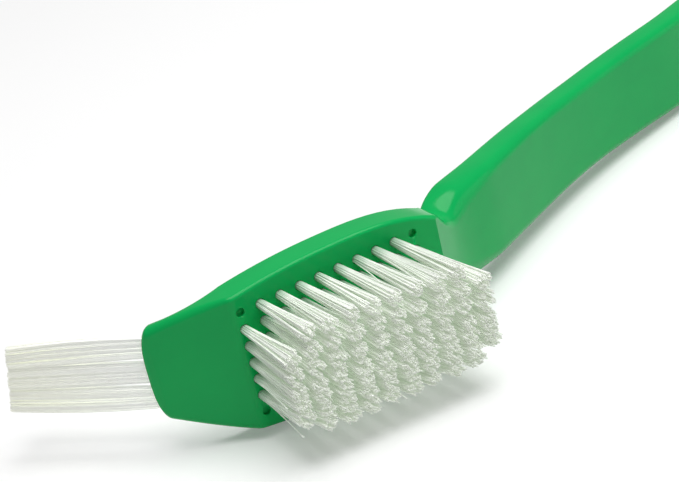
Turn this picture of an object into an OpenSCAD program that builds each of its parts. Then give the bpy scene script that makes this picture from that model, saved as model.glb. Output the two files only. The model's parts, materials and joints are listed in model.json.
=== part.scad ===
// Pet toothbrush: a one-piece moulded handle and head, a field of bristle tufts
// and a flat brush in the nose, each tuft folded over a metal anchor plate.
//
// The brush is drawn in its head frame: +x runs towards the handle, y across the
// head, and +z out of the bristle face, which lies at z = 0. The last transform
// lays it on its side on the ground, +Z up, as it rests when it is put down.

/* [Bristle field] */
// Distance between tufts along the head
pitch_along = 4; // [3.2:0.1:5]
// Distance between tuft rows across the head
pitch_across = 3.3; // [2.8:0.1:4.2]
// Length of the free bristles next to the nose
bristle_front = 17.2; // [12:0.2:22]
// Length of the free bristles next to the handle
bristle_rear = 22.2; // [14:0.2:26]
// Gap between the free ends of neighbouring tufts
tuft_end_gap = 0.1; // [0.05:0.05:0.5]
// Inward lean of the row nearest the ground, which has taken a set
tuft_lean = 6.5; // [0:0.5:8]

/* [Tuft holes and anchors] */
// Diameter of a tuft hole
hole_d = 1.8; // [1.4:0.05:2.1]
// Depth of a tuft hole
hole_depth = 4.4; // [3:0.1:5]
// Diameter of the empty locating holes at the corners of the field
locating_d = 1.6; // [1:0.1:2]
// Depth of the locating holes
locating_depth = 0.8; // [0.6:0.1:2]
// Gap between a tuft or an anchor and the wall of its hole
hole_gap = 0.05; // [0.02:0.01:0.1]
// Height of an anchor plate
anchor_h = 1.5; // [1:0.1:2]
// Thickness of an anchor plate
anchor_t = 0.3; // [0.2:0.05:0.45]
// Filament left under an anchor plate, where the tuft folds over it
fold_h = 0.5; // [0.3:0.1:0.8]

/* [Head] */
// Thickness of the head
head_t = 6.8; // [5.8:0.1:9]
// Flat left between the first tufts and the knee of the nose
front_margin = 1.4; // [1.1:0.1:4]
// Flat left between the last tufts and the neck
rear_margin = 5.2; // [3:0.1:8]
// Flat left between the outer tuft rows and the widest part of the sides
side_margin = 4.8; // [3.5:0.1:7]
// How much nearer the sides are at the knee than at the head's widest
knee_waist = 0.9; // [0:0.1:3]
// How much nearer the sides are at the neck end than at the head's widest
rear_waist = 2.6; // [0.5:0.1:4]
// Radius of the head's long edges
head_edge_r = 0.8; // [0.5:0.1:2]

/* [Nose] */
// Length of the nose's sloping front
nose_length = 17.1; // [12:0.1:24]
// Slope of the nose's front away from the bristle face
nose_slope = 39; // [20:1:45]
// Width of the nose at its end
nose_end_w = 18.2; // [16.8:0.2:22]
// Thickness of the nose at its end
nose_end_t = 3.6; // [3.2:0.1:5]
// Radius of the knee between the nose and the bristle face
knee_r = 3; // [1:0.5:3]

/* [Nose brush] */
// Direction of the nose brush away from the bristle face
brush_slope = 50; // [30:1:60]
// Free length of the nose brush along its middle
brush_length = 31.5; // [20:0.5:36]
// Width of the nose brush at its free end
brush_end_w = 13.2; // [8:0.2:15]
// Thickness of the nose brush at its free end
brush_end_t = 2.4; // [1.6:0.1:3]
// Angle of the trimmed end of the nose brush
brush_trim = 13; // [0:1:20]
// Width of each of its three sockets
socket_w = 4.3; // [3.4:0.1:4.5]
// Thickness of each socket
socket_t = 1.7; // [1.4:0.1:1.9]
// Depth of each socket
socket_depth = 4.6; // [4:0.1:6]
// Wall between neighbouring sockets
socket_wall = 0.7; // [0.5:0.1:1]
// Least wall between a socket and the nose's front
socket_cover = 0.5; // [0.3:0.1:0.8]

/* [Neck] */
// Width of the neck where it is narrowest
neck_w = 15.2; // [13:0.2:18]
// Thickness of the neck
neck_t = 7.4; // [6:0.1:11]
// How much narrower the neck's front is than its back, on each side
neck_bevel = 2.4; // [0:0.1:3]
// Radius of the neck's long edges where it runs into the handle
neck_edge_r = 3; // [1:0.1:3.3]
// Slope of the neck away from the bristle face
neck_slope = 40; // [20:1:45]
// Length of the neck, from the head to the root of the handle
neck_length = 13; // [10:0.5:20]
// Length over which the neck's slope eases into the handle's
neck_ease = 26; // [20:1:40]

/* [Handle] */
// Length of the handle from the head, measured along it
handle_length = 142; // [110:1:180]
// Width of the handle at its root
handle_w = 18.2; // [16:0.2:22]
// Width of the handle at its far end
handle_end_w = 22; // [18:0.2:28]
// Thickness of the handle
handle_t = 6.1; // [4.5:0.1:8]
// How much narrower the handle's front is than its back, on each side
handle_bevel = 0.7; // [0:0.1:1.5]
// Slope of the handle at its root, away from the bristle face
grip_slope = 28; // [8:1:30]
// Slope of the handle at its far end
end_slope = 16; // [-10:1:20]
// Length over which the handle bends to that slope, measured from the head
bend_length = 95; // [70:1:140]
// Radius of the handle's long edges
handle_edge_r = 1.6; // [0.6:0.1:2]
// Diameter of the hanging hole
hang_hole_d = 5; // [3:0.5:8]

/* [Hidden] */
columns = 10;
rows = 7;
sockets = 3;
colour_moulding = [0.05, 0.62, 0.28];
colour_bristle = [0.86, 0.88, 0.82];
colour_brush = [0.9, 0.9, 0.88];
colour_anchor = [0.8, 0.66, 0.35];

face_front = -(columns - 1) / 2 * pitch_along - front_margin;
face_rear = (columns - 1) / 2 * pitch_along + rear_margin;
head_half_w = (rows - 1) / 2 * pitch_across + side_margin;

function mix(a, b, t) = a + (b - a) * t;
function ease(t) = t * t * (3 - 2 * t);
function ease_between(x, a, b) = ease(min(1, max(0, (x - a) / (b - a))));
function path_direction(slope) = [cos(slope), 0, -sin(slope)];
function front_normal(slope) = [sin(slope), 0, cos(slope)];

// Sections of the moulding. Each is [point on its front, tilt, half width, thickness,
// edge radius, bevel], and its plane holds the y axis and the front normal.

// Half width of the head, from the knee at t = 0 to the neck end at t = 1.
head_widest = 0.45;
function side_bow(t) = t < head_widest
    ? head_half_w - knee_waist * pow(1 - t / head_widest, 2)
    : head_half_w - rear_waist * pow((t - head_widest) / (1 - head_widest), 2.5);

// Nose: its front is straight from its end to the knee, and its back is a hollow
// curve. Each section runs from the front to the back.
nose_steps = 7;
knee_steps = 4;
corner_step = 30;
nose_edge_r = 2.2;
nose_corner_r = 1;
nose_hollow = 5;
nose_out = [-cos(brush_slope), 0, -sin(brush_slope)];
knee_point = [face_front, 0, 0];
nose_point = knee_point - (nose_length - nose_corner_r) * [cos(nose_slope), 0, sin(nose_slope)];
knee_cut = knee_r * tan(nose_slope / 2);
knee_share = 1 - knee_cut / nose_length;
knee_start = mix(nose_point, knee_point, knee_share);
knee_end = knee_point + [knee_cut, 0, 0];
function bend(a, b, c, t) = mix(mix(a, b, t), mix(b, c, t), t);
function nose_back(t) =
    bend(
        nose_point - nose_end_t * front_normal(-brush_slope),
        [face_front - nose_hollow, 0, -head_t],
        knee_end - [0, 0, head_t],
        t);
function nose_flare(t) = t * (4 - t) / 3;
function nose_section(point, t) =
    let (through = point - nose_back(t))
        [
            point,
            atan2(through.x, through.z),
            mix(nose_end_w / 2, side_bow(0), nose_flare(t)),
            norm(through),
            mix(nose_edge_r, head_edge_r, t),
            0
        ];
// The end of the nose is a flat face with rounded corners.
function nose_corner_section(turn) =
    let (base = nose_section(nose_point, 0))
        [
            base[0] + nose_corner_r * sin(turn) * nose_out,
            base[1],
            base[2] - nose_corner_r * (1 - cos(turn)),
            base[3],
            base[4],
            0
        ];
nose_sections = concat(
    [for (turn = [90:-corner_step:corner_step]) nose_corner_section(turn)],
    [
        for (i = [0:nose_steps])
            let (t = i / nose_steps * knee_share)
                nose_section(mix(nose_point, knee_point, t), t)
    ],
    [
        for (i = [1:knee_steps - 1])
            let (t = i / knee_steps)
                nose_section(bend(knee_start, knee_point, knee_end, t), mix(knee_share, 1, t))
    ]);

// Head: a flat face between sides that bow outwards.
head_steps = 14;
face_edge_r = 0.7;
head_sections = [
    for (i = [0:head_steps])
        let (t = i / head_steps)
            [
                [mix(knee_end.x, face_rear, t), 0, 0],
                0,
                side_bow(t),
                head_t,
                mix(head_edge_r, face_edge_r, pow(t, 4)),
                0
            ]
];

// Neck and handle: the slope eases from the neck's to the handle's, then flattens.
handle_steps = 50;
handle_step = handle_length / handle_steps;
handle_end_r = handle_end_w / 2;
// Distances from the head at which the neck is narrowest, at which the handle has
// its full width and its own thickness, and between which the bevel grows.
waist = 0.45 * neck_length;
full_width = 1.3 * neck_length;
full_thickness = 2 * neck_ease;
bevel_start = 0.35 * neck_length;
bevel_full = 0.75 * neck_length;
function handle_slope(s) =
    mix(
        mix(neck_slope, grip_slope, ease_between(s, 0, neck_ease)),
        end_slope,
        ease_between(s, neck_ease, bend_length));
function handle_path(i) = i == 0
    ? [[face_rear, 0, 0]]
    : let (before = handle_path(i - 1))
        concat(
            before,
            [before[i - 1] + handle_step * path_direction(handle_slope((i - 0.5) * handle_step))]);
handle_points = handle_path(handle_steps);
function end_half_w(s) =
    let (left = max(0, handle_length - s))
        left >= handle_end_r ? handle_end_r : sqrt(left * (2 * handle_end_r - left));
function handle_half_w(s) =
    min(
        end_half_w(s),
        mix(
            mix(side_bow(1), neck_w / 2, ease_between(s, 0, waist)),
            mix(handle_w, handle_end_w, ease_between(s, neck_ease, handle_length)) / 2,
            ease_between(s, waist, full_width)));
function handle_thick(s) =
    mix(
        mix(head_t, neck_t, ease_between(s, 0, neck_length)),
        handle_t,
        ease_between(s, neck_length, full_thickness));
function bevel(s) =
    mix(
        neck_bevel * ease_between(s, bevel_start, bevel_full),
        handle_bevel,
        ease_between(s, neck_length, neck_ease));
function edge_r(s) =
    mix(
        mix(face_edge_r, neck_edge_r, ease_between(s, 0, neck_length)),
        handle_edge_r,
        ease_between(s, neck_length, full_thickness));
function handle_section(s, point) = [
    point,
    handle_slope(s) * ease_between(s, 0, neck_length),
    handle_half_w(s),
    handle_thick(s),
    edge_r(s),
    bevel(s) * min(1, handle_half_w(s) / handle_end_r)
];
// Even steps to the round of the end, then steps of equal angle round it.
end_step = 10;
handle_sections = concat(
    [
        for (i = [1:handle_steps])
            let (s = i * handle_step)
                if (s <= handle_length - handle_end_r)
                    handle_section(s, handle_points[i])
    ],
    [
        for (turn = [end_step:end_step:90 - end_step])
            let (s = handle_length - handle_end_r * (1 - sin(turn)))
                handle_section(s, path_point(s))
    ]);
function path_point(s) =
    let (i = floor(s / handle_step))
        mix(handle_points[i], handle_points[i + 1], s / handle_step - i);

body_sections = concat(nose_sections, head_sections, handle_sections);

// Rounded outline with its front edge on y = 0, counter-clockwise. Its front is
// narrower than its back by the bevel on each side.
round_steps = 4;
// Most of a section's half width and thickness that its edge radius may take.
edge_of_width = 0.9;
edge_of_thickness = 0.45;
function rounded(half_w, t, r, bevel) = [
    for (corner = [0:3])
        let (
            side = corner == 0 || corner == 3 ? 1 : -1,
            inset = corner < 2 ? bevel : 0,
            centre = [side * (half_w - inset - r), corner < 2 ? -r : r - t]
        )
            for (i = [0:round_steps])
                let (turn = corner * 90 + 90 * i / round_steps)
                    centre + r * [cos(turn), sin(turn)]
];
function section_ring(s) =
    let (n = front_normal(s[1]), r = min(s[4], s[2] * edge_of_width, s[3] * edge_of_thickness))
        [for (p = rounded(s[2], s[3], r, s[5])) s[0] + [0, p.x, 0] + n * p.y];
body_rings = [for (s = body_sections) section_ring(s)];

// Closed skin through rings with the same number of points.
module loft(rings) {
    count = len(rings[0]);
    last = len(rings) - 1;
    sides = [
        for (k = [0:last - 1])
            for (i = [0:count - 1])
                let (a = k * count + i, b = k * count + (i + 1) % count)
                    each [[a, a + count, b], [b, a + count, b + count]]
    ];
    first_cap = [[for (i = [0:count - 1]) i]];
    last_cap = [[for (i = [count - 1:-1:0]) last * count + i]];
    polyhedron([for (ring = rings) each ring], concat(first_cap, sides, last_cap));
}

// Bristle field

// How far cuts reach past what they cut
cut = 0.5;
tuft_d = hole_d - 2 * hole_gap;
round_fn = 32;
middle_row = (rows + 1) / 2;
function column_x(column) = (column - (columns + 1) / 2) * pitch_along;
function row_y(row) = (middle_row - row) * pitch_across;
function is_corner(row, column) = (row == 1 || row == rows) && (column == 1 || column == columns);
function bristle_length(column) = mix(bristle_front, bristle_rear, (column - 1) / (columns - 1));
// The middle row stands straight, and each row below it leans a little more.
lean_step = tuft_lean / (rows - middle_row);
function row_lean(row) = lean_step * max(0, row - middle_row);
tuft_end_d = min(pitch_along, pitch_across - bristle_rear * sin(lean_step)) - tuft_end_gap;

module at_tufts(row) {
    for (column = [1:columns])
        if (!is_corner(row, column))
            translate([column_x(column), row_y(row), 0]) {
                $column = column;
                children();
            }
}

module at_corners() {
    for (row = [1, rows])
        for (column = [1, columns])
            translate([column_x(column), row_y(row), 0])
                children();
}

// Space that an anchor plate takes in a tuft whose hole has its floor at z = 0.
module anchor_plate(width, gap = 0) {
    translate([-width / 2, -anchor_t / 2 - gap, fold_h])
        cube([width, anchor_t + 2 * gap, anchor_h + gap]);
}

module tuft(free_length, lean) {
    difference() {
        union() {
            translate([0, 0, -hole_depth])
                cylinder(h = hole_depth, d = tuft_d, $fn = round_fn);
            rotate([-lean, 0, 0])
                cylinder(h = free_length, d1 = tuft_d, d2 = tuft_end_d, $fn = round_fn);
        }
        translate([0, 0, -hole_depth])
            anchor_plate(hole_d, hole_gap / 2);
    }
}

module tuft_row(row) {
    color(colour_bristle)
        at_tufts(row)
            tuft(bristle_length($column), row_lean(row));
}

module anchor_row(row) {
    color(colour_anchor)
        at_tufts(row)
            translate([0, 0, -hole_depth])
                anchor_plate(tuft_d);
}

// Nose brush, drawn with x towards the front, y across and z out of the nose.

socket_pitch = socket_w + socket_wall;
brush_pitch = brush_end_w / sockets;
brush_gap = 0.1;
arc_steps = 5;
// The nose's front closes in on the sockets, so they are set in from it by what
// leaves their cover at their floor.
socket_inset = socket_cover + (socket_depth - nose_corner_r) * tan(brush_slope - nose_slope);
nose_middle =
    nose_point + nose_corner_r * nose_out
    - front_normal(-brush_slope) * (socket_inset + socket_t / 2);

// Oblong with round ends, w long in y and t thick in x.
function oblong(w, t) = [
    for (side = [0, 1])
        for (i = [0:arc_steps])
            let (turn = 180 * side + 180 * i / arc_steps)
                [t / 2 * cos(turn), (side == 0 ? 1 : -1) * (w - t) / 2 + t / 2 * sin(turn)]
];
function flat_ring(w, t, y, z, trim = 0) = [
    for (p = oblong(w, t)) [p.x, p.y + y, z - (p.y + y) * tan(trim)]
];
function brush_rings(side) =
    let (root_w = socket_w - 2 * hole_gap, root_t = socket_t - 2 * hole_gap)
        [
            flat_ring(root_w, root_t, side * socket_pitch, -socket_depth),
            flat_ring(root_w, root_t, side * socket_pitch, 0),
            flat_ring(brush_pitch - brush_gap, brush_end_t, side * brush_pitch, brush_length, brush_trim)
        ];
function from_nose(p) =
    nose_middle + p.x * front_normal(-brush_slope) + [0, p.y, 0] + p.z * nose_out;

module at_nose() {
    translate(nose_middle)
        rotate([0, -90 - brush_slope, 0])
            children();
}

module at_socket(side) {
    at_nose()
        translate([0, side * socket_pitch, -socket_depth])
            rotate([0, 0, 90])
                children();
}

module brush_tuft(side) {
    color(colour_brush)
        difference() {
            at_nose()
                loft(brush_rings(side));
            at_socket(side)
                anchor_plate(socket_w, hole_gap / 2);
        }
}

module brush_anchor(side) {
    color(colour_anchor)
        at_socket(side)
            anchor_plate(socket_w - 2 * hole_gap);
}

module socket(side) {
    at_socket(side)
        linear_extrude(socket_depth + cut) {
            square([socket_w - socket_t, socket_t], center = true);
            for (end = [-1, 1])
                translate([end * (socket_w - socket_t) / 2, 0])
                    circle(d = socket_t, $fn = round_fn);
        }
}

// Moulding

hang_hole_s = handle_length - handle_end_r;

module hang_hole() {
    slope = handle_slope(hang_hole_s);
    translate(path_point(hang_hole_s))
        rotate([0, slope, 0])
            translate([0, 0, -handle_t - cut])
                cylinder(h = handle_t + 2 * cut, d = hang_hole_d, $fn = 64);
}

module handle() {
    color(colour_moulding)
        difference() {
            loft(body_rings);
            for (row = [1:rows])
                at_tufts(row)
                    translate([0, 0, -hole_depth])
                        cylinder(h = hole_depth + cut, d = hole_d, $fn = round_fn);
            at_corners()
                translate([0, 0, -locating_depth])
                    cylinder(h = locating_depth + cut, d = locating_d, $fn = round_fn);
            for (side = [-1:1])
                socket(side);
            hang_hole();
        }
}

// Rest: on its side, touching the ground with the head's side and the handle's.

head_cloud = [for (ring = body_rings) for (p = ring) if (p.x <= face_rear) p];
handle_cloud = [for (ring = body_rings) for (p = ring) if (p.x > face_rear) p];
brush_cloud = [for (side = [-1:1]) for (p = brush_rings(side)[2]) from_nose(p)];
function lowest(cloud, up) =
    let (heights = [for (p = cloud) p * up], low = min(heights))
        [for (i = [0:len(cloud) - 1]) if (heights[i] == low) cloud[i]][0];
function unit(v) = v / norm(v);
function rest_up(rounds, up = [0, 1, 0]) = rounds == 0
    ? up
    : let (line = lowest(handle_cloud, up) - lowest(head_cloud, up))
        rest_up(rounds - 1, unit([-line.y, line.x, 0]));
up = rest_up(6);
along = [up.y, -up.x, 0];
across = [0, 0, -1];

// Reach of the whole brush along a direction: its points and the tufts' round ends.
bristle_ends = [
    for (row = [1:rows])
        for (column = [1:columns])
            if (!is_corner(row, column))
                let (length = bristle_length(column), lean = row_lean(row))
                    [column_x(column), row_y(row) + length * sin(lean), length * cos(lean)]
];
function reach(v) = max(concat(
    [for (p = concat(head_cloud, handle_cloud, brush_cloud)) p * v],
    [for (p = bristle_ends) p * v + tuft_end_d / 2 * norm([v.x, v.y])]));
function middle(v) = (reach(v) - reach(-v)) / 2;

module lay_down() {
    multmatrix([
        [along.x, along.y, along.z, -middle(along)],
        [across.x, across.y, across.z, -middle(across)],
        [up.x, up.y, up.z, -lowest(head_cloud, up) * up]
    ])
        children();
}

lay_down() handle();
lay_down() tuft_row(1);  // tuft_row_1
lay_down() tuft_row(2);  // tuft_row_2
lay_down() tuft_row(3);  // tuft_row_3
lay_down() tuft_row(4);  // tuft_row_4
lay_down() tuft_row(5);  // tuft_row_5
lay_down() tuft_row(6);  // tuft_row_6
lay_down() tuft_row(7);  // tuft_row_7
lay_down() anchor_row(1);  // anchor_row_1
lay_down() anchor_row(2);  // anchor_row_2
lay_down() anchor_row(3);  // anchor_row_3
lay_down() anchor_row(4);  // anchor_row_4
lay_down() anchor_row(5);  // anchor_row_5
lay_down() anchor_row(6);  // anchor_row_6
lay_down() anchor_row(7);  // anchor_row_7
lay_down() brush_tuft(1);  // nose_tuft_upper
lay_down() brush_tuft(0);  // nose_tuft_middle
lay_down() brush_tuft(-1);  // nose_tuft_lower
lay_down() brush_anchor(1);  // nose_anchor_upper
lay_down() brush_anchor(0);  // nose_anchor_middle
lay_down() brush_anchor(-1);  // nose_anchor_lower
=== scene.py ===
import json
import math
import random

import bmesh
import bpy
from mathutils import Matrix, Vector

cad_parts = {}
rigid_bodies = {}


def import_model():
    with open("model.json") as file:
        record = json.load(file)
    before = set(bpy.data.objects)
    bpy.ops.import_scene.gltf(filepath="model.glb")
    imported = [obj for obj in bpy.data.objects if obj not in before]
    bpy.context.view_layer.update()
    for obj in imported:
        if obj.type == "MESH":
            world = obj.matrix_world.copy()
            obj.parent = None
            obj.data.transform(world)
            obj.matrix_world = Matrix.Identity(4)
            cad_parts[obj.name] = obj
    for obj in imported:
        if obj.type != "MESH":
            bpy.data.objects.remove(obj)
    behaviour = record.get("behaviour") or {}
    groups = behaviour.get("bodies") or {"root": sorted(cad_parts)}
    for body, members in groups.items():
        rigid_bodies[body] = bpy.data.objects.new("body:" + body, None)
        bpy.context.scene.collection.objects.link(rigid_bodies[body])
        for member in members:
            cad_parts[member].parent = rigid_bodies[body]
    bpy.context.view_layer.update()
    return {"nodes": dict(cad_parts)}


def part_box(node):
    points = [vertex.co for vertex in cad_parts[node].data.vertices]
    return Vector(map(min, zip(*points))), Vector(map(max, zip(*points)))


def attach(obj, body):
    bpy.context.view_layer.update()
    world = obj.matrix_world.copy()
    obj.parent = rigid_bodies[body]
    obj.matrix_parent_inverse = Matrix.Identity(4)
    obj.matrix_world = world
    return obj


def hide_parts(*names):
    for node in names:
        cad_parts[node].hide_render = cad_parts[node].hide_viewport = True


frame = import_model()
random.seed(11)
mm = 0.001

# Sizes that more than one piece shares, in millimetres.
field = {
    "columns": 10,
    "rows": 7,
    "pitchAlong": 4.0,
    "pitchAcross": 3.3,
    "holeDiameter": 1.8,
    "holeDepth": 4.4,
    "anchorThickness": 0.3,
    "anchorFloor": 0.5,
    "anchorWidth": 1.7,
    "frontLength": 17.2,
    "rearLength": 22.2,
}


def mix(a, b, t):
    return a + (b - a) * t


def easeBetween(x, start, end):
    t = min(1, max(0, (x - start) / (end - start)))
    return t * t * (3 - 2 * t)


# The head frame: x towards the handle, y across the head, z out of the bristle face.
def headFrame():
    low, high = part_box("anchor_row_4")
    span = (field["columns"] - 1) * field["pitchAlong"] + field["anchorWidth"]
    rise = high.z - low.z - field["anchorThickness"] * mm
    tilt = math.asin(rise / (span * mm))
    faceY = high.y - (field["holeDepth"] - field["anchorFloor"]) * mm
    origin = Vector(((low.x + high.x) / 2, faceY, (low.z + high.z) / 2))
    axes = Matrix((
        (math.cos(tilt), math.sin(tilt), 0),
        (0, 0, -1),
        (-math.sin(tilt), math.cos(tilt), 0),
    ))
    return Matrix.Translation(origin) @ axes.to_4x4()


headToWorld = headFrame()


def columnX(column):
    return (column - (field["columns"] + 1) / 2) * field["pitchAlong"]


def rowY(row):
    return ((field["rows"] + 1) / 2 - row) * field["pitchAcross"]


def isCorner(row, column):
    return row in (1, field["rows"]) and column in (1, field["columns"])


def deselect():
    for item in bpy.context.view_layer.objects:
        item.select_set(False)


def activate(piece):
    deselect()
    piece.select_set(True)
    bpy.context.view_layer.objects.active = piece


def edit(piece):
    activate(piece)
    bpy.ops.object.mode_set(mode="EDIT")


def leaveEdit():
    bpy.ops.object.mode_set(mode="OBJECT")


def chooseVertices(piece, test):
    shape = bmesh.from_edit_mesh(piece.data)
    for vertex in shape.verts:
        vertex.select = test(vertex.co)
    shape.select_flush_mode()
    bmesh.update_edit_mesh(piece.data)


def chooseEdges(piece, test):
    shape = bmesh.from_edit_mesh(piece.data)
    for vertex in shape.verts:
        vertex.select = False
    shape.select_flush_mode()
    for edge in shape.edges:
        edge.select = test(edge.verts[0].co, edge.verts[1].co)
    bmesh.update_edit_mesh(piece.data)


def bakeModifier(piece, kind, **settings):
    activate(piece)
    modifier = piece.modifiers.new(kind.title(), kind)
    for name, value in settings.items():
        setattr(modifier, name, value)
    bpy.ops.object.modifier_apply(modifier=modifier.name)


def join(pieces, name):
    deselect()
    for piece in pieces:
        piece.select_set(True)
    bpy.context.view_layer.objects.active = pieces[0]
    bpy.ops.object.join()
    pieces[0].name = name
    activate(pieces[0])
    bpy.ops.object.transform_apply(location=True, rotation=True, scale=True)
    return pieces[0]


def layDown(piece):
    activate(piece)
    piece.matrix_world = headToWorld @ piece.matrix_world
    bpy.ops.object.transform_apply(location=True, rotation=True, scale=True)


# A copy with a mesh of its own.
def copyOf(piece, matrix):
    twin = piece.copy()
    twin.data = piece.data.copy()
    bpy.context.collection.objects.link(twin)
    twin.matrix_world = matrix
    return twin


moulding = {
    "headThickness": 6.8,
    "frontMargin": 1.4,
    "rearMargin": 5.2,
    "sideMargin": 4.75,
    "headWidest": 0.45,  # as a share of the flat face's length
    "kneeWaist": 1.35,
    "rearWaist": 3.4,
    "headEdge": 0.8,
    "faceEdge": 0.7,
    "headSteps": 20,
    "noseLength": 17.1,
    "noseSlope": 39,
    "noseEndWidth": 18.9,
    "noseEndThickness": 3.6,
    "noseCorner": 1.0,
    "noseCrown": 1.6,
    "noseRound": 2.8,
    "noseSquareness": 2.7,
    # Widths of the nose's last sections, as shares of noseEndWidth.
    "noseEndShares": (0.5, 0.68, 0.8, 0.88, 0.93, 0.965, 0.985, 0.997),
    "noseLip": 0.7,
    "noseEdge": 2.2,
    "noseHollow": 5,
    "noseSteps": 12,
    "kneeRadius": 3,
    "kneeSteps": 6,
    "brushSlope": 50,
    "neckWidth": 15.2,
    "neckThickness": 7.4,
    "neckBevel": 2.4,
    "neckEdge": 2.4,
    "neckSlope": 40,
    "neckLength": 13,
    "neckWaist": 0.45,  # this and the next three are shares of neckLength
    "neckSpread": 1.3,
    "neckBevelStart": 0.35,
    "neckBevelEnd": 0.75,
    "neckEase": 26,
    "neckStep": 0.8,
    "neckSteps": 36,
    "handleLength": 142,
    "handleWidth": 18.2,
    "handleSwell": 0.95,
    "handleLift": 1.2,
    "handleEndWidth": 21.9,
    "handleThickness": 6.1,
    "handleBevel": 0.7,
    "handleEdge": 1.6,
    "handleStep": 2.6,
    "endTurns": range(0, 85, 6),  # degrees round the handle's end
    "gripSlope": 28,
    "endSlope": 16,
    "bendLength": 95,
    "hangHole": 5,
    "hangHoleSides": 48,
    "locatingHole": 1.6,
    "locatingDepth": 0.8,
    "countersink": 0.12,
    "cutterOverlap": 0.2,
    "cutterRise": 0.5,
    "socketWidth": 4.3,
    "socketThickness": 1.7,
    "socketDepth": 6.2,
    "socketWall": 0.7,
    "socketCover": 0.5,
    "edgeShare": 0.49,  # the widest edge radius, as a share of the thickness
    "edgeRoom": 0.85,  # and of the room that the outline leaves it
    "edgeSegments": 7,
    "smoothAngle": 35,
}
m = moulding
faceFront = columnX(1) - m["frontMargin"]
faceRear = columnX(field["columns"]) + m["rearMargin"]
headHalf = rowY(1) + m["sideMargin"]


# Slopes are in degrees. A positive one runs towards the handle and back from the face.
def direction(slope):
    return Vector((math.cos(math.radians(slope)), 0, -math.sin(math.radians(slope))))


def frontNormal(slope):
    return Vector((math.sin(math.radians(slope)), 0, math.cos(math.radians(slope))))


# A curve from a to c, pulled towards b.
def bend(a, b, c, t):
    return mix(mix(a, b, t), mix(b, c, t), t)


# Half the width at t along the flat face: widest near its middle, drawn in at both ends.
def sideBow(t):
    widest = m["headWidest"]
    if t < widest:
        return headHalf - m["kneeWaist"] * (1 - t / widest) ** 2
    return headHalf - m["rearWaist"] * ((t - widest) / (1 - widest)) ** 3


noseOut = -direction(-m["brushSlope"])
kneePoint = Vector((faceFront, 0, 0))
nosePoint = kneePoint - (m["noseLength"] - m["noseCorner"]) * direction(-m["noseSlope"])
kneeCut = m["kneeRadius"] * math.tan(math.radians(m["noseSlope"] / 2))
kneeShare = 1 - kneeCut / m["noseLength"]
kneeStart = mix(nosePoint, kneePoint, kneeShare)
kneeEnd = kneePoint + Vector((kneeCut, 0, 0))


# A cross-section: a point on the front, how far its plane is tilted, the half width
# at the back, the thickness, the radius of its front and back edges, and how much
# narrower the front is.
def section(point, tilt, half, thickness, frontEdge, backEdge, bevel=0):
    return {
        "point": point,
        "tilt": tilt,
        "half": half,
        "thickness": thickness,
        "frontEdge": min(frontEdge, m["edgeShare"] * thickness),
        "backEdge": min(backEdge, m["edgeShare"] * thickness),
        "bevel": bevel,
    }


# Rounds a section off near an end of the bar: both its faces draw in alike.
def roundOff(part, fromEnd, radius):
    inside = max(0, radius - fromEnd)
    lost = radius - math.sqrt(radius * radius - inside * inside)
    part["point"] = part["point"] - lost * frontNormal(part["tilt"])
    part["thickness"] -= 2 * lost
    part["frontEdge"] -= lost
    part["backEdge"] -= lost
    return part


# Where the outline turns across the bar, its edge radii shrink so that they never meet.
def keepEdgesApart(sections):
    for i, part in enumerate(sections):
        before = sections[max(0, i - 1)]
        after = sections[min(len(sections) - 1, i + 1)]
        along = (after["point"] - before["point"]).length
        widening = after["half"] - before["half"]
        room = m["edgeRoom"] * part["half"] * along / math.hypot(along, widening)
        part["frontEdge"] = min(part["frontEdge"], room)
        part["backEdge"] = min(part["backEdge"], room)


# A section of the nose at t, from its end to the face. The back has its own curve, and
# the sides open fastest near the end.
def noseSection(point, t):
    backEnd = nosePoint - m["noseEndThickness"] * frontNormal(-m["brushSlope"])
    corner = Vector((faceFront - m["noseHollow"], 0, -m["headThickness"]))
    back = bend(backEnd, corner, kneeEnd - Vector((0, 0, m["headThickness"])), t)
    through = point - back
    edge = mix(m["noseEdge"], m["headEdge"], t)
    return section(
        point,
        math.degrees(math.atan2(through.x, through.z)),
        mix(m["noseEndWidth"] / 2, sideBow(0), t * (4 - t) / 3),
        through.length,
        edge,
        edge,
    )


# The nose ends in a flat oval: crowned in the middle and rounded at its corners.
def noseEndSections():
    squareness = m["noseSquareness"]
    proud = m["noseCorner"] + m["noseCrown"]
    sections = []
    for share in m["noseEndShares"]:
        fromEnd = m["noseRound"] * (1 - (1 - share ** squareness) ** (1 / squareness))
        t = max(0, fromEnd - proud) / m["noseLength"]
        part = noseSection(mix(nosePoint, kneePoint, t), t)
        part["point"] = part["point"] + max(0, proud - fromEnd) * noseOut
        part["half"] *= share
        sections.append(roundOff(part, fromEnd, m["noseLip"]))
    return sections


def noseSections():
    sections = noseEndSections()
    for i in range(2, m["noseSteps"] + 1):
        t = i / m["noseSteps"] * kneeShare
        sections.append(noseSection(mix(nosePoint, kneePoint, t), t))
    for i in range(1, m["kneeSteps"]):
        t = i / m["kneeSteps"]
        point = bend(kneeStart, kneePoint, kneeEnd, t)
        sections.append(noseSection(point, mix(kneeShare, 1, t)))
    return sections


def headSections():
    sections = []
    for i in range(m["headSteps"] + 1):
        t = i / m["headSteps"]
        point = Vector((mix(kneeEnd.x, faceRear, t), 0, 0))
        edge = mix(m["headEdge"], m["faceEdge"], t ** 4)
        sections.append(section(point, 0, sideBow(t), m["headThickness"], edge, edge))
    return sections


def handleSlope(s):
    root = mix(m["neckSlope"], m["gripSlope"], easeBetween(s, 0, m["neckEase"]))
    return mix(root, m["endSlope"], easeBetween(s, m["neckEase"], m["bendLength"]))


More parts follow.
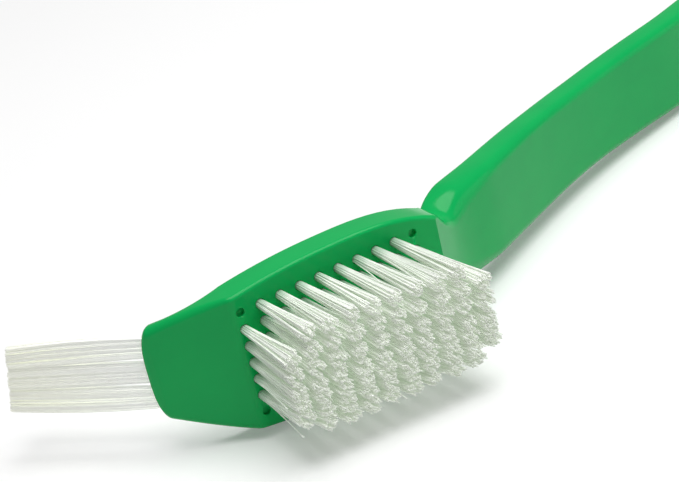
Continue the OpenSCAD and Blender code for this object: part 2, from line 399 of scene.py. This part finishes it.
# The handle's front at s along it, reached in steps of about a quarter of a millimetre.
def handlePoint(s):
    steps = max(1, round(s * 4))
    point = Vector((faceRear, 0, 0))
    for i in range(steps):
        point += s / steps * direction(handleSlope((i + 0.5) * s / steps))
    return point


# Half the handle's width: the neck's waist, the grip and the round end.
def handleHalf(s):
    length, endRadius = m["handleLength"], m["handleEndWidth"] / 2
    waist, fullWidth = m["neckWaist"] * m["neckLength"], m["neckSpread"] * m["neckLength"]
    neck = mix(sideBow(1), m["neckWidth"] / 2, easeBetween(s, 0, waist))
    grip = mix(m["handleWidth"], m["handleEndWidth"], easeBetween(s, m["neckEase"], length)) / 2
    grip += m["handleSwell"] * easeBetween(length / 2 - s, 0, length / 4)
    left = length - s
    widest = math.sqrt(left * (2 * endRadius - left)) if left < endRadius else endRadius
    return min(mix(neck, grip, easeBetween(s, waist, fullWidth)), widest)


def handleSection(s):
    neckLength, ownThickness = m["neckLength"], 2 * m["neckEase"]
    half = handleHalf(s)
    neckThickness = mix(m["headThickness"], m["neckThickness"], easeBetween(s, 0, neckLength))
    thickness = mix(neckThickness, m["handleThickness"], easeBetween(s, neckLength, ownThickness))
    neckEdge = mix(m["faceEdge"], m["neckEdge"], easeBetween(s, 0, neckLength))
    frontEdge = mix(neckEdge, m["handleEdge"], easeBetween(s, neckLength, ownThickness))
    backEdge = mix(m["faceEdge"], m["handleEdge"], easeBetween(s, 0, m["neckEase"]))
    bevelStart, bevelEnd = m["neckBevelStart"] * neckLength, m["neckBevelEnd"] * neckLength
    neckBevel = m["neckBevel"] * easeBetween(s, bevelStart, bevelEnd)
    bevel = mix(neckBevel, m["handleBevel"], easeBetween(s, neckLength, m["neckEase"]))
    lift = m["handleLift"] * easeBetween(s, neckLength / 2, m["neckEase"])
    lift *= easeBetween(m["handleLength"] - s, m["handleEndWidth"], 2 * m["handleEndWidth"])
    part = section(
        handlePoint(s) + lift * frontNormal(handleSlope(s)),
        handleSlope(s) * easeBetween(s, 0, neckLength),
        half,
        thickness,
        frontEdge,
        backEdge,
        bevel * min(1, 2 * half / m["handleEndWidth"]),
    )
    return roundOff(part, m["handleLength"] - s, m["handleEdge"])


# Close steps along the neck, wider ones along the handle, and its end by turns.
def handleSections():
    endRadius = m["handleEndWidth"] / 2
    places = [m["neckStep"] * (i + 1) for i in range(m["neckSteps"])]
    while places[-1] < m["handleLength"] - endRadius - m["handleStep"]:
        places.append(places[-1] + m["handleStep"])
    for turn in m["endTurns"]:
        places.append(m["handleLength"] - endRadius * (1 - math.sin(math.radians(turn))))
    return [handleSection(s) for s in places]


# A straight bar of unit sections a metre apart. The edges of its front and back carry
# their radius as a bevel weight, in shares of bevelUnit.
bevelUnit = 4.0


# Whether an edge of the straight bar runs along its front or its back, centred on x.
def isLongEdge(a, b, x, side):
    onFace = min((a.z + 0.5) * side, (b.z + 0.5) * side) > 0.4
    onSide = min(abs(a.y), abs(b.y)) > 0.4
    return onFace and onSide and abs((a.x + b.x) / 2 - x) < 0.1


def straightBar(name, sections):
    deselect()
    bpy.ops.mesh.primitive_plane_add(
        size=1,
        rotation=(0, math.pi / 2, 0),
        location=(1, 0, -0.5),
    )
    bar = bpy.context.object
    bar.name = name
    bpy.ops.object.transform_apply(location=True, rotation=True, scale=True)
    edit(bar)
    bpy.ops.mesh.select_all(action="SELECT")
    bpy.ops.mesh.subdivide(number_cuts=1)
    for _ in sections[1:]:
        bpy.ops.mesh.extrude_region_move(TRANSFORM_OT_translate={"value": (1, 0, 0)})
    bpy.ops.mesh.select_all(action="SELECT")
    bpy.ops.mesh.normals_make_consistent(inside=False)
    for side, edge in ((1, "frontEdge"), (-1, "backEdge")):
        for i in range(1, len(sections)):
            radius = min(sections[i - 1][edge], sections[i][edge])
            chooseEdges(bar, lambda a, b: isLongEdge(a, b, i + 0.5, side))
            bpy.ops.transform.edge_bevelweight(value=radius / bevelUnit)
    leaveEdit()
    return bar


# One section of the straight bar is sized, narrowed at the front, tilted and moved.
def shapeSection(bar, x, part):
    here = Vector((x, 0, 0))
    half, thickness = part["half"] * mm, part["thickness"] * mm
    chooseVertices(bar, lambda co: abs(co.x - x) < 0.1)
    bpy.ops.transform.resize(value=(1, 2 * half, thickness), center_override=here)
    chooseVertices(bar, lambda co: abs(co.x - x) < 0.1 and co.z > -0.1 * thickness)
    narrower = 1 - part["bevel"] / part["half"]
    bpy.ops.transform.resize(value=(1, narrower, 1), center_override=here)
    chooseVertices(bar, lambda co: abs(co.x - x) < 0.1)
    turn = math.radians(-part["tilt"])
    bpy.ops.transform.rotate(value=turn, orient_axis="Y", center_override=here)
    bpy.ops.transform.translate(value=part["point"] * mm - here)


# A cutter for a round hole with its mouth at z = 0, slightly countersunk.
def holeCutter(name, diameter, depth, sides=24):
    deselect()
    countersink, rise = m["countersink"] * mm, m["cutterRise"] * mm
    radius = diameter / 2 * mm
    bpy.ops.mesh.primitive_cylinder_add(
        vertices=sides,
        radius=radius,
        depth=depth * mm - countersink,
        location=(0, 0, -(depth * mm + countersink) / 2),
    )
    cutter = bpy.context.object
    cutter.name = name
    bpy.ops.object.transform_apply(location=True, rotation=True, scale=True)
    edit(cutter)
    bpy.ops.mesh.select_mode(type="FACE")
    shape = bmesh.from_edit_mesh(cutter.data)
    for face in shape.faces:
        face.select = face.normal.z > 0.9
    bmesh.update_edit_mesh(cutter.data)
    bpy.ops.mesh.extrude_region_move(TRANSFORM_OT_translate={"value": (0, 0, countersink)})
    grow = 1 + countersink / radius
    bpy.ops.transform.resize(value=(grow, grow, 1))
    bpy.ops.mesh.extrude_region_move(TRANSFORM_OT_translate={"value": (0, 0, rise)})
    bpy.ops.mesh.select_mode(type="VERT")
    leaveEdit()
    return cutter


# A hole cutter drawn out across the nose into a socket with round ends.
def socketCutter():
    cutter = holeCutter("socketCutter", m["socketThickness"], m["socketDepth"])
    stretch = (m["socketWidth"] - m["socketThickness"]) / 2 * mm
    edit(cutter)
    for side in (-1, 1):
        chooseVertices(cutter, lambda co: co.y * side > 0.01 * mm)
        bpy.ops.transform.translate(value=(0, side * stretch, 0))
    leaveEdit()
    return cutter


# The frame of a nose socket: z out of the nose, y across it, x towards the front.
def socketFrame(side):
    lean = math.tan(math.radians(m["brushSlope"] - m["noseSlope"]))
    proud = m["noseCorner"] + m["noseCrown"]
    inset = m["socketCover"] + (m["socketDepth"] - proud) * lean
    front = frontNormal(-m["brushSlope"])
    across = Vector((0, 1, 0))
    middle = nosePoint + proud * noseOut - (inset + m["socketThickness"] / 2) * front
    place = middle + side * (m["socketWidth"] + m["socketWall"]) * across
    turned = Matrix((front, across, noseOut)).transposed()
    return Matrix.Translation(place * mm) @ turned.to_4x4()


def hangHoleFrame(depth):
    s = m["handleLength"] - m["handleEndWidth"] / 2
    slope = handleSlope(s)
    place = handlePoint(s) - depth * frontNormal(slope)
    return Matrix.Translation(place * mm) @ Matrix.Rotation(math.radians(slope), 4, "Y")


def allHoles():
    tuftHole = holeCutter("tuftHole", field["holeDiameter"], field["holeDepth"])
    locatingHole = holeCutter("locatingHole", m["locatingHole"], m["locatingDepth"])
    socket = socketCutter()
    halfWay = m["handleThickness"] / 2 + m["cutterOverlap"]
    hangHole = holeCutter("hangHole", m["hangHole"], halfWay, m["hangHoleSides"])
    cutters = []
    for row in range(1, field["rows"] + 1):
        for column in range(1, field["columns"] + 1):
            cutter = locatingHole if isCorner(row, column) else tuftHole
            place = Vector((columnX(column), rowY(row), 0)) * mm
            cutters.append(copyOf(cutter, Matrix.Translation(place)))
    for side in (-1, 0, 1):
        cutters.append(copyOf(socket, socketFrame(side)))
    fromBack = hangHoleFrame(m["handleThickness"]) @ Matrix.Rotation(math.pi, 4, "X")
    cutters.append(copyOf(hangHole, hangHoleFrame(0)))
    cutters.append(copyOf(hangHole, fromBack))
    for spare in (tuftHole, locatingHole, socket, hangHole):
        bpy.data.objects.remove(spare)
    return join(cutters, "holes")


def buildMoulding():
    sections = noseSections() + headSections() + handleSections()
    keepEdgesApart(sections)
    handle = straightBar("moulding", sections)
    edit(handle)
    for i, part in enumerate(sections):
        shapeSection(handle, i + 1, part)
    leaveEdit()
    bakeModifier(
        handle,
        "BEVEL",
        width=bevelUnit * mm,
        limit_method="WEIGHT",
        segments=m["edgeSegments"],
        use_clamp_overlap=False,
        offset_type="OFFSET",
    )
    holes = allHoles()
    bakeModifier(
        handle,
        "BOOLEAN",
        operation="DIFFERENCE",
        object=holes,
        solver="EXACT",
        use_self=True,
    )
    bpy.data.objects.remove(holes)
    activate(handle)
    bpy.ops.object.shade_smooth_by_angle(angle=math.radians(m["smoothAngle"]))
    bakeModifier(handle, "WEIGHTED_NORMAL", keep_sharp=True)
    layDown(handle)
    return handle


handle = buildMoulding()
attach(handle, "root")
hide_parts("handle")
print("moulding:", len(handle.data.polygons), "faces")

filament = {
    "sides": 5,
    "segments": 5,
    "tipGrowth": 1.4,
    "tipTaper": 0.7,
    "tipStep": 0.01,
    "smoothAngle": 75,
}
tuft = {
    "filaments": 64,
    "filamentDiameter": 0.2,
    "rootSpread": 0.66,
    "tipSpread": 1.75,
    "spreadRange": 0.3,
    "tipScatter": 0.11,
    "tipDome": 0.5,
    "raggedEnds": 0.55,
    "clumps": 5,
    "clumping": 0.35,
    "strayShare": 0.025,
    "strayScatter": 0.9,
    "leanPerRow": 1.0,
    "rootGap": 0.1,
    "drift": 0.13,
    "turnRange": 6.28,
    "straightShare": 0.6,
}
noseBrush = {
    "filaments": 190,
    "filamentDiameter": 0.24,
    "length": 29.5,
    "endWidth": 13.6,
    "endShift": -0.9,
    "endThickness": 2.4,
    "outerBulge": 1.5,
    "groupBulge": 1.6,
    "trim": 13,
    "scatter": 0.12,
    "flatScatter": 0.3,  # through the thickness, as a share of scatter
    "raggedEnds": 0.15,
    "rootGap": 0.4,
    "rootClearance": 0.3,
    "edgeClearance": 0.4,
}


# One filament, a unit long and a unit in radius, that every strand is a copy of.
def filamentModel():
    deselect()
    bpy.ops.mesh.primitive_circle_add(vertices=filament["sides"], radius=1, fill_type="NGON")
    strand = bpy.context.object
    strand.name = "filament"
    edit(strand)
    bpy.ops.mesh.select_all(action="SELECT")
    step, tipStep = 1 / filament["segments"], filament["tipStep"]
    growth = filament["tipGrowth"] ** step
    for i in range(filament["segments"]):
        length = step - tipStep if i == filament["segments"] - 1 else step
        bpy.ops.mesh.extrude_region_move(TRANSFORM_OT_translate={"value": (0, 0, length)})
        bpy.ops.transform.resize(value=(growth, growth, 1))
    bpy.ops.mesh.extrude_region_move(TRANSFORM_OT_translate={"value": (0, 0, tipStep)})
    taper = filament["tipTaper"]
    bpy.ops.transform.resize(value=(taper, taper, 1))
    bpy.ops.mesh.select_all(action="SELECT")
    bpy.ops.mesh.normals_make_consistent(inside=False)
    leaveEdit()
    return strand


# A strand starts along its reach and bows sideways towards its tip.
def strandPoint(strand, t):
    return strand["root"] + strand["reach"] * t + strand["bow"] * t * t


# Each vertex keeps its strand's tone and its place along it, for the materials.
def bundle(name, model, strands):
    shape = bmesh.new()
    tone = shape.verts.layers.float.new("tone")
    along = shape.verts.layers.float.new("along")
    for strand in strands:
        start = len(shape.verts)
        shape.from_mesh(model.data)
        shape.verts.ensure_lookup_table()
        across = strand["reach"].orthogonal().normalized()
        up = strand["reach"].normalized().cross(across)
        for vertex in shape.verts[start:]:
            x, y, t = vertex.co
            ring = (across * x + up * y) * strand["radius"]
            vertex.co = (strandPoint(strand, t) + ring) * mm
            vertex[tone] = strand["tone"]
            vertex[along] = t
    mesh = bpy.data.meshes.new(name)
    shape.normal_update()
    shape.to_mesh(mesh)
    shape.free()
    piece = bpy.data.objects.new(name, mesh)
    bpy.context.collection.objects.link(piece)
    activate(piece)
    bpy.ops.object.shade_smooth_by_angle(angle=math.radians(filament["smoothAngle"]))
    layDown(piece)
    return piece


# Even places in a unit circle, numbered from the middle outwards.
def spiralPlace(i, count):
    turn = i * math.pi * (3 - math.sqrt(5))
    reach = math.sqrt((i + 0.5) / count)
    return Vector((math.cos(turn), math.sin(turn), 0)) * reach


# The lower rows lean in over the others, as they are bent by use.
def rowLean(row):
    return tuft["leanPerRow"] * max(0, row - (field["rows"] + 1) / 2)


def scatterBy(reach):
    return Vector((random.gauss(0, reach), random.gauss(0, reach), 0))


def tuftStrands(row, column):
    share = (column - 1) / (field["columns"] - 1)
    length = mix(field["frontLength"], field["rearLength"], share)
    depth = field["holeDepth"] - tuft["rootGap"]
    root = Vector((columnX(column), rowY(row), -depth))
    lean = Vector((0, rowLean(row) * length / field["rearLength"], 0))
    drift = scatterBy(tuft["drift"])
    turned = Matrix.Rotation(random.uniform(0, tuft["turnRange"]), 3, "Z")
    tipSpread = tuft["tipSpread"] + random.uniform(-1, 1) * tuft["spreadRange"]
    clumps = [turned @ spiralPlace(i, tuft["clumps"]) for i in range(tuft["clumps"])]
    straight = tuft["straightShare"]
    strands = []
    for i in range(tuft["filaments"]):
        place = turned @ spiralPlace(i, tuft["filaments"])
        isStray = random.random() < tuft["strayShare"]
        scatter = scatterBy(tuft["strayScatter"] if isStray else tuft["tipScatter"])
        dome = tuft["tipDome"] * place.length_squared
        ragged = tuft["raggedEnds"] * random.random() ** 2
        nearest = min(clumps, key=lambda clump: (clump - place).length)
        tipPlace = place.lerp(nearest, tuft["clumping"])
        spread = tipPlace * tipSpread - place * tuft["rootSpread"] + drift
        strands.append({
            "root": root + place * tuft["rootSpread"],
            "reach": Vector((0, 0, length - dome - ragged + depth)) + spread * straight,
            "bow": spread * (1 - straight) + scatter + lean,
            "radius": tuft["filamentDiameter"] / 2,
            "tone": random.random(),
        })
    return strands


# A random place in an oblong with round ends, from -0.5 to 0.5 of its two sizes.
def oblongPlace(width, thickness):
    while True:
        x, y = random.uniform(-0.5, 0.5), random.uniform(-0.5, 0.5)
        beyond = max(0, abs(y) * width - (width - thickness) / 2)
        if math.hypot(x * thickness, beyond) < thickness / 2:
            return x, y


# The three groups part at their sockets and close up to one flat end. The outer two
# swell sideways just outside their sockets.
def noseStrands(side):
    n = noseBrush
    place = socketFrame(0)
    rootWidth = m["socketWidth"] - n["rootClearance"]
    rootThickness = m["socketThickness"] - n["rootClearance"]
    endThickness = n["endThickness"] - n["edgeClearance"]
    pitch, endPitch = m["socketWidth"] + m["socketWall"], n["endWidth"] / 3
    depth = m["socketDepth"] - n["rootGap"]
    strands = []
    for _ in range(n["filaments"]):
        x, y = oblongPlace(rootWidth, rootThickness)
        root = Vector((x * rootThickness, y * rootWidth + side * pitch, -depth))
        endY = (y + side) * endPitch + n["endShift"] + random.gauss(0, n["scatter"])
        endX = x * endThickness + random.gauss(0, n["scatter"]) * n["flatScatter"]
        trim = endY * math.tan(math.radians(n["trim"]))
        length = n["length"] - trim - abs(random.gauss(0, n["raggedEnds"]))
        tip = Vector((endX, endY, length))
        swell = max(0, (y + side) * side) * n["outerBulge"] * side + y * n["groupBulge"]
        bow = place.to_3x3() @ Vector((0, -swell, 0))
        start, end = place @ (root * mm) / mm, place @ (tip * mm) / mm
        strands.append({
            "root": start,
            "reach": end - start - bow,
            "bow": bow,
            "radius": n["filamentDiameter"] / 2,
            "tone": random.random(),
        })
    return strands


filamentShape = filamentModel()
bristles = []
for row in range(1, field["rows"] + 1):
    strands = []
    for column in range(1, field["columns"] + 1):
        if not isCorner(row, column):
            strands += tuftStrands(row, column)
    piece = bundle(f"bristles_row_{row}", filamentShape, strands)
    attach(piece, "root")
    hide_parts(f"tuft_row_{row}")
    bristles.append(piece)
print("bristle rows:", sum(len(piece.data.polygons) for piece in bristles), "faces")

noseBristles = []
for side, place in ((1, "upper"), (0, "middle"), (-1, "lower")):
    piece = bundle(f"nose_bristles_{place}", filamentShape, noseStrands(side))
    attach(piece, "root")
    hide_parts(f"nose_tuft_{place}")
    noseBristles.append(piece)
bpy.data.objects.remove(filamentShape)
print("nose brush:", sum(len(piece.data.polygons) for piece in noseBristles), "faces")

# A socket in a node tree. Sums, differences and products of signals add Math nodes.
class Signal:
    def __init__(self, tree, socket=None):
        self.tree = tree
        self.socket = socket

    # Any node: its settings are set first, then the values or links of its sockets.
    def node(self, kind, settings=None, inputs=None, output=0):
        made = self.tree.nodes.new("ShaderNode" + kind)
        for name, value in (settings or {}).items():
            if name == "stops":
                self.placeStops(made.color_ramp.elements, value)
            else:
                setattr(made, name, value)
        for name, value in (inputs or {}).items():
            if isinstance(value, Signal):
                self.tree.links.new(value.socket, made.inputs[name])
            else:
                made.inputs[name].default_value = value
        return Signal(self.tree, made.outputs[output]) if made.outputs else None

    def placeStops(self, elements, levels):
        for element, level in zip(elements, levels):
            element.position = level

    def maths(self, operation, a, b):
        return self.node("Math", {"operation": operation}, {0: a, 1: b})

    # This signal from 0 at the first level to 1 at the second.
    def ramp(self, levels):
        return self.node("ValToRGB", {"stops": levels}, {"Fac": self})

    # This signal blends the first colour into the second.
    def blend(self, first, second):
        return self.node("Mix", {"data_type": "RGBA"}, {0: self, 6: first, 7: second}, 2)

    def __add__(self, other):
        return self.maths("ADD", self, other)

    def __sub__(self, other):
        return self.maths("SUBTRACT", self, other)

    def __rsub__(self, other):
        return self.maths("SUBTRACT", other, self)

    def __mul__(self, other):
        return self.maths("MULTIPLY", self, other)

    __radd__ = __add__
    __rmul__ = __mul__


def newMaterial(name):
    material = bpy.data.materials.new(name)
    material.use_nodes = True
    material.node_tree.nodes.clear()
    return material, Signal(material.node_tree)


def surface(sheet, shader):
    sheet.node("OutputMaterial", {}, {"Surface": shader})


def noise(sheet, place, scale, detail=2):
    return sheet.node("TexNoise", {}, {"Vector": place, "Scale": scale, "Detail": detail})


def bump(sheet, distance, height, beneath=None):
    inputs = {"Strength": 1, "Distance": distance, "Height": height}
    if beneath:
        inputs["Normal"] = beneath
    return sheet.node("Bump", {}, inputs)


def finish(pieces, material):
    for piece in pieces:
        piece.data.materials.clear()
        piece.data.materials.append(material)


greenFinish = {
    "light": (0.003, 0.435, 0.098, 1),
    "deep": (0.002, 0.405, 0.094, 1),
    "mottleScale": 120,
    "mottleLevels": (0.35, 0.65),
    "mottleShare": 0.6,
    "flowScale": 300,
    "flowLevels": (0.3, 0.7),
    "flowStretch": (0.12, 1, 1),
    "roughness": 0.13,
    "roughnessRange": 0.08,
    "wearScale": 150,
    "wearLevels": (0.4, 0.75),
    "specular": 0.16,
    "ripple": 0.00003,
    "rippleScale": 90,
    "grain": 0.0000004,
    "grainScale": 2500,
}


# Moulded plastic: faint mottling and flow streaks in the colour, a gently rippled
# skin with a fine grain, and handling marks that dull the gloss in places.
def greenPlastic():
    g = greenFinish
    material, sheet = newMaterial("greenPlastic")
    place = sheet.node("TexCoord", output="Object")
    streaks = sheet.node("Mapping", {}, {"Vector": place, "Scale": g["flowStretch"]})
    mottle = noise(sheet, place, g["mottleScale"]).ramp(g["mottleLevels"])
    flow = noise(sheet, streaks, g["flowScale"], 3).ramp(g["flowLevels"])
    depth = mottle * g["mottleShare"] + flow * (1 - g["mottleShare"])
    colour = depth.blend(g["light"], g["deep"])
    wear = noise(sheet, place, g["wearScale"], 3).ramp(g["wearLevels"])
    roughness = wear * g["roughnessRange"] + g["roughness"]
    skin = bump(sheet, g["ripple"], noise(sheet, place, g["rippleScale"], 1))
    skin = bump(sheet, g["grain"], noise(sheet, place, g["grainScale"]), skin)
    surface(sheet, sheet.node("BsdfPrincipled", {}, {
        "Base Color": colour,
        "Roughness": roughness,
        "Specular IOR Level": g["specular"],
        "Normal": skin,
    }))
    return material


# Bristles: dark and green at the roots, which is painted shade near the face and painted green
# light thrown back from the head, and whiter at the cut tips. The pale green of the strands is
# partly their own tint and partly painted green light from the head. Each change of colour runs
# between two places along the strand.
whiteFinish = {
    "root": (0.36, 0.56, 0.4, 1),
    "changes": (
        ((0.17, 0.38), (0.92, 0.97, 0.89, 1)),
        ((0.75, 0.98), (0.95, 0.98, 0.92, 1)),
    ),
    "toneRange": 0.08,
    "roughness": 0.42,
    "roughnessRange": 0.15,
    "glow": 0.065,
}
# Nose brush: glossier, and creamier towards its end.
clearFinish = {
    "root": (0.97, 0.98, 0.95, 1),
    "changes": (
        ((0.3, 0.95), (0.95, 0.96, 0.88, 1)),
    ),
    "toneRange": 0.05,
    "roughness": 0.3,
    "roughnessRange": 0.15,
    "glow": 0.2,
}


# Nylon, with no two strands alike. Its faint glow stands in for the light that each
# strand passes on.
def nylon(name, look):
    material, sheet = newMaterial(name)
    along = sheet.node("Attribute", {"attribute_name": "along"}, output="Fac")
    tone = sheet.node("Attribute", {"attribute_name": "tone"}, output="Fac")
    colour = look["root"]
    for levels, nextColour in look["changes"]:
        colour = along.ramp(levels).blend(colour, nextColour)
    shade = 1 - tone * look["toneRange"]
    colour = sheet.node("VectorMath", {"operation": "SCALE"}, {0: colour, "Scale": shade})
    surface(sheet, sheet.node("BsdfPrincipled", {}, {
        "Base Color": colour,
        "Roughness": tone * look["roughnessRange"] + look["roughness"],
        "Emission Color": colour,
        "Emission Strength": look["glow"],
    }))
    return material


brassFinish = {
    "bright": (0.83, 0.64, 0.3, 1),
    "dull": (0.55, 0.4, 0.18, 1),
    "roughness": 0.28,
    "tarnishScale": 900,
    "tarnishLevels": (0.4, 0.7),
    "tarnishRoughness": 0.2,
    "streakStretch": (1, 0.1, 1),
    "streakScale": 6000,
    "streakDepth": 0.000006,
}


# Anchor strip: rolled and sheared brass, streaked along its length.
def anchorBrass():
    b = brassFinish
    material, sheet = newMaterial("anchorBrass")
    place = sheet.node("TexCoord", output="Object")
    streaks = sheet.node("Mapping", {}, {"Vector": place, "Scale": b["streakStretch"]})
    tarnish = noise(sheet, place, b["tarnishScale"], 3).ramp(b["tarnishLevels"])
    surface(sheet, sheet.node("BsdfPrincipled", {}, {
        "Base Color": tarnish.blend(b["bright"], b["dull"]),
        "Metallic": 1.0,
        "Roughness": tarnish * b["tarnishRoughness"] + b["roughness"],
        "Normal": bump(sheet, b["streakDepth"], noise(sheet, streaks, b["streakScale"])),
    }))
    return material


anchors = [piece for name, piece in frame["nodes"].items() if "anchor" in name]
finish([handle], greenPlastic())
finish(bristles, nylon("whiteNylon", whiteFinish))
finish(noseBristles, nylon("clearNylon", clearFinish))
finish(anchors, anchorBrass())
print("finishes:", len(anchors), "anchor nodes dressed")

floorFinish = {
    "size": 6,
    "paper": (0.8, 0.8, 0.8, 1),
    "fibre": (0.78, 0.78, 0.78, 1),
    "fibreScale": 900,
    "glow": 0.21,
    "farGlow": 0.85,
    "fadeStart": 0.25,
    "fadeEnd": 1.5,
}


# Whether a ray comes from the camera, and whether it was mirrored or passed through.
def rayKinds(sheet):
    seen = sheet.node("LightPath", output="Is Camera Ray")
    mirrored = sheet.node("LightPath", output="Is Glossy Ray")
    through = sheet.node("LightPath", output="Is Transmission Ray")
    return seen, mirrored + through


# White paper that keeps the brush's shadow and reaches full white around it. Its glow
# grows with the distance from the brush, as the lamps reach less far.
def whitePaper():
    f = floorFinish
    material, sheet = newMaterial("whitePaper")
    place = sheet.node("TexCoord", output="Object")
    colour = noise(sheet, place, f["fibreScale"], 3).blend(f["paper"], f["fibre"])
    paper = sheet.node("BsdfDiffuse", {}, {"Color": colour})
    seen, mirrored = rayKinds(sheet)
    reach = sheet.node("VectorMath", {"operation": "LENGTH"}, {0: place}, output=1)
    far = sheet.node("MapRange", {"interpolation_type": "SMOOTHSTEP"}, {
        "Value": reach,
        "From Min": f["fadeStart"],
        "From Max": f["fadeEnd"],
        "To Min": f["glow"],
        "To Max": f["farGlow"],
    })
    glow = sheet.node("Emission", {}, {"Strength": (seen + mirrored) * far})
    surface(sheet, sheet.node("AddShader", {}, {0: paper, 1: glow}))
    return material


deselect()
bpy.ops.mesh.primitive_plane_add(size=floorFinish["size"])
floor = bpy.context.object
floor.name = "floor"
finish([floor], whitePaper())
print("floor:", floorFinish["size"], "m wide")

studio = {
    "keyPlace": (0.13, -0.15, 1.0),
    "keySize": 1.1,
    "keyPower": 12.8,
    "fillPlace": (0.9, -0.5, 0.3),
    "fillSize": 0.6,
    "fillPower": 0.6,
    "surround": 0.13,
    "reflected": 0.35,
}


def areaLight(name, place, size, power):
    lamp = bpy.data.objects.new(name, bpy.data.lights.new(name, "AREA"))
    bpy.context.collection.objects.link(lamp)
    lamp.data.shape = "DISK"
    lamp.data.size = size
    lamp.data.energy = power
    lamp.location = place
    lamp.rotation_euler = (-Vector(place)).to_track_quat("-Z", "Y").to_euler()


# Dim all round for the light, white where the camera sees it and softer in the gloss.
def surround(level, reflected):
    world = bpy.data.worlds.new("studio")
    bpy.context.scene.world = world
    world.use_nodes = True
    world.node_tree.nodes.clear()
    sheet = Signal(world.node_tree)
    seen, mirrored = rayKinds(sheet)
    strength = level + seen * (1 - level) + mirrored * (reflected - level)
    background = sheet.node("Background", {}, {"Color": (1, 1, 1, 1), "Strength": strength})
    sheet.node("OutputWorld", {}, {"Surface": background})


areaLight("keyLight", studio["keyPlace"], studio["keySize"], studio["keyPower"])
areaLight("fillLight", studio["fillPlace"], studio["fillSize"], studio["fillPower"])
surround(studio["surround"], studio["reflected"])
print("light: 2 lamps and the surround")

# Where the camera aims is in the head frame, in millimetres.
cameraView = {
    "aim": (3.5, 14.6, 0),
    "distance": 316,
    "azimuth": -24.8,
    "elevation": 24.5,
    "roll": 15.1,
    "lens": 95.4,
    "sensorWidth": 36,
    "clipStart": 0.01,
}


def placeCamera(view):
    turn, rise = math.radians(view["azimuth"]), math.radians(view["elevation"])
    back = Vector((
        math.sin(turn) * math.cos(rise),
        -math.cos(turn) * math.cos(rise),
        math.sin(rise),
    ))
    aim = headToWorld @ (Vector(view["aim"]) * mm)
    camera = bpy.data.objects.new("camera", bpy.data.cameras.new("camera"))
    bpy.context.collection.objects.link(camera)
    camera.data.lens = view["lens"]
    camera.data.sensor_width = view["sensorWidth"]
    camera.data.clip_start = view["clipStart"]
    turned = (-back).to_track_quat("-Z", "Y").to_matrix()
    turned = turned @ Matrix.Rotation(math.radians(-view["roll"]), 3, "Z")
    place = Matrix.Translation(aim + back * view["distance"] * mm)
    camera.matrix_world = place @ turned.to_4x4()
    bpy.context.scene.camera = camera


placeCamera(cameraView)
bpy.context.scene.view_settings.view_transform = "Standard"
bpy.context.scene.cycles.diffuse_bounces = 10  # for the light between the bristles
print("camera:", cameraView["lens"], "mm lens")
